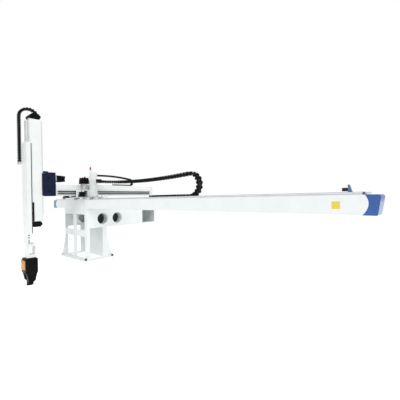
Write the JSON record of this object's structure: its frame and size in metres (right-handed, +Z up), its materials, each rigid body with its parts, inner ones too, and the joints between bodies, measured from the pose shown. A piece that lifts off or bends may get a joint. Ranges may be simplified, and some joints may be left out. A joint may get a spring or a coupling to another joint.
{
  "type": "gantry robot with telescopic arm",
  "caption": "Servo gantry take-out robot: traverse beam on a welded base, carriage, crosswise arm, two-stage telescopic vertical arm, turning and flipping wrist.",
  "frame": {"origin": "middle of the base's four anchor holes, on its underside", "axes": "+X along the traverse beam towards its long end, +Y along the crosswise arm away from the vertical arm, +Z up"},
  "size_m": [5.9749, 2.647, 2.9725],
  "materials": {
    "powder_white": "satin powder coat",
    "extrusion_white": "white powder coat",
    "rail_steel": "ground",
    "block_steel": "ground",
    "machined_aluminium": "anodised",
    "gearbox_metal": "bead blasted",
    "motor_black": "satin",
    "pinion_steel": "hardened",
    "navy_casting": "navy paint",
    "cap_blue": "moulded",
    "cap_light": "moulded",
    "stop_blue_grey": "paint",
    "bumper_rubber": "matte",
    "screw_black": "black oxide",
    "chain_nylon": "moulded",
    "hose_black": "corrugated",
    "head_black": "moulded",
    "wrist_black": "black paint",
    "cover_orange": "moulded",
    "lamp_red": "clear moulded"
  },
  "bodies": {
    "base": {"base_frame": "powder_white", "levelling_screws": "screw_black", "traverse_beam": "extrusion_white", "beam_cap_left": "cap_blue", "beam_cap_right": "cap_blue", "traverse_track": "rail_steel", "end_stops": "stop_blue_grey", "stop_bumpers": "bumper_rubber", "chain_trough": "powder_white", "traverse_chain_lower": "chain_nylon"},
    "carriage": {"carriage_plate": "machined_aluminium", "traverse_guide_blocks": "block_steel", "traverse_gearbox": "gearbox_metal", "traverse_motor": "motor_black", "side_brackets": "powder_white", "crosswise_guide_blocks": "block_steel", "drive_bracket": "powder_white", "crosswise_gearbox": "gearbox_metal", "crosswise_motor": "motor_black", "chain_tower": "powder_white", "chain_connectors": "chain_nylon", "lamp_lens": "lamp_red", "cable_tray": "powder_white", "hose_bundle": "hose_black", "traverse_chain_upper": "chain_nylon", "crosswise_chain_upper": "chain_nylon"},
    "traverse_bend": {"traverse_chain_bend": "chain_nylon"},
    "traverse_pinion": {"traverse_pinion": "pinion_steel"},
    "crosswise_pinion": {"crosswise_pinion": "pinion_steel"},
    "crosswise_arm": {"crosswise_beam": "extrusion_white", "crosswise_cap": "cap_light", "crosswise_track": "rail_steel", "crosswise_chain_tray": "extrusion_white", "crosswise_chain_lower": "chain_nylon", "end_bracket": "navy_casting", "lift_guide_blocks": "block_steel", "lift_gearbox": "gearbox_metal", "lift_motor": "motor_black", "lift_chain_rear": "chain_nylon"},
    "crosswise_bend": {"crosswise_chain_bend": "chain_nylon"},
    "lift_pinion": {"lift_pinion": "pinion_steel"},
    "stage_1": {"stage_1_profile": "extrusion_white", "stage_1_track": "rail_steel", "stage_1_bottom_head": "head_black", "stage_1_top_head": "head_black", "telescope_belt": "bumper_rubber", "lift_chain_bend": "chain_nylon"},
    "bottom_belt_pulley": {"bottom_belt_pulley": "machined_aluminium"},
    "top_belt_pulley": {"top_belt_pulley": "machined_aluminium"},
    "stage_2": {"stage_2_profile": "extrusion_white", "stage_2_guide_blocks": "block_steel", "wrist_bracket": "extrusion_white", "lift_chain_arm": "machined_aluminium", "lift_chain_front": "chain_nylon"},
    "wrist": {"wrist_housing": "wrist_black", "wrist_cover": "cover_orange"},
    "tool_head": {"tool_head": "machined_aluminium"}
  },
  "joints": [
    {"name": "traverse_slide", "type": "slide", "parent": "base", "child": "carriage", "axis": [1, 0, 0], "range_m": [0, 4], "deforming": ["traverse_chain_lower", "traverse_chain_upper"]},
    {"name": "traverse_chain_roll", "type": "slide", "parent": "base", "child": "traverse_bend", "axis": [1, 0, 0], "range_m": [0, 2]},
    {"name": "traverse_pinion_spin", "type": "hinge", "parent": "carriage", "child": "traverse_pinion", "pos_m": [0.015, -0.1491, 1.133], "axis": [0, 0, 1], "continuous": true},
    {"name": "crosswise_slide", "type": "slide", "parent": "carriage", "child": "crosswise_arm", "axis": [0, -1, 0], "range_m": [0, 1.1], "deforming": ["crosswise_chain_lower", "crosswise_chain_upper"]},
    {"name": "crosswise_chain_roll", "type": "slide", "parent": "crosswise_arm", "child": "crosswise_bend", "axis": [0, 1, 0], "range_m": [0, 0.55]},
    {"name": "crosswise_pinion_spin", "type": "hinge", "parent": "carriage", "child": "crosswise_pinion", "pos_m": [0.3441, -0.208, 1.234], "axis": [0, 0, 1], "continuous": true},
    {"name": "lift_slide", "type": "slide", "parent": "crosswise_arm", "child": "stage_1", "axis": [0, 0, -1], "range_m": [-0.25, 0.72], "deforming": ["lift_chain_rear", "lift_chain_front"]},
    {"name": "telescope_slide", "type": "slide", "parent": "stage_1", "child": "stage_2", "axis": [0, 0, -1], "range_m": [-0.25, 0.72]},
    {"name": "lift_pinion_spin", "type": "hinge", "parent": "crosswise_arm", "child": "lift_pinion", "pos_m": [0.1931, -0.878, 1.5], "axis": [0, -1, 0], "continuous": true},
    {"name": "bottom_pulley_spin", "type": "hinge", "parent": "stage_1", "child": "bottom_belt_pulley", "pos_m": [0.224, -0.988, 0.782], "axis": [1, 0, 0], "continuous": true},
    {"name": "top_pulley_spin", "type": "hinge", "parent": "stage_1", "child": "top_belt_pulley", "pos_m": [0.224, -0.988, 2.463], "axis": [1, 0, 0], "continuous": true},
    {"name": "wrist_turn", "type": "hinge", "parent": "stage_2", "child": "wrist", "pos_m": [0.188, -1.076, 0.186], "axis": [0, 0, 1], "range_deg": [-180, 180]},
    {"name": "wrist_flip", "type": "hinge", "parent": "wrist", "child": "tool_head", "pos_m": [0.188, -1.076, -0.15], "axis": [1, 0, 0], "range_deg": [-90, 90]}
  ],
  "couplings": [
    {"joint": "traverse_chain_roll", "follows": "traverse_slide", "ratio": 0.5},
    {"joint": "traverse_pinion_spin", "follows": "traverse_slide", "rad_per_m": 31.25},
    {"joint": "crosswise_chain_roll", "follows": "crosswise_slide", "ratio": 0.5},
    {"joint": "crosswise_pinion_spin", "follows": "crosswise_slide", "rad_per_m": 31.25},
    {"joint": "telescope_slide", "follows": "lift_slide", "ratio": 1},
    {"joint": "lift_pinion_spin", "follows": "lift_slide", "rad_per_m": 31.25},
    {"joint": "bottom_pulley_spin", "follows": "lift_slide", "rad_per_m": 11.429},
    {"joint": "top_pulley_spin", "follows": "lift_slide", "rad_per_m": 11.429}
  ]
}
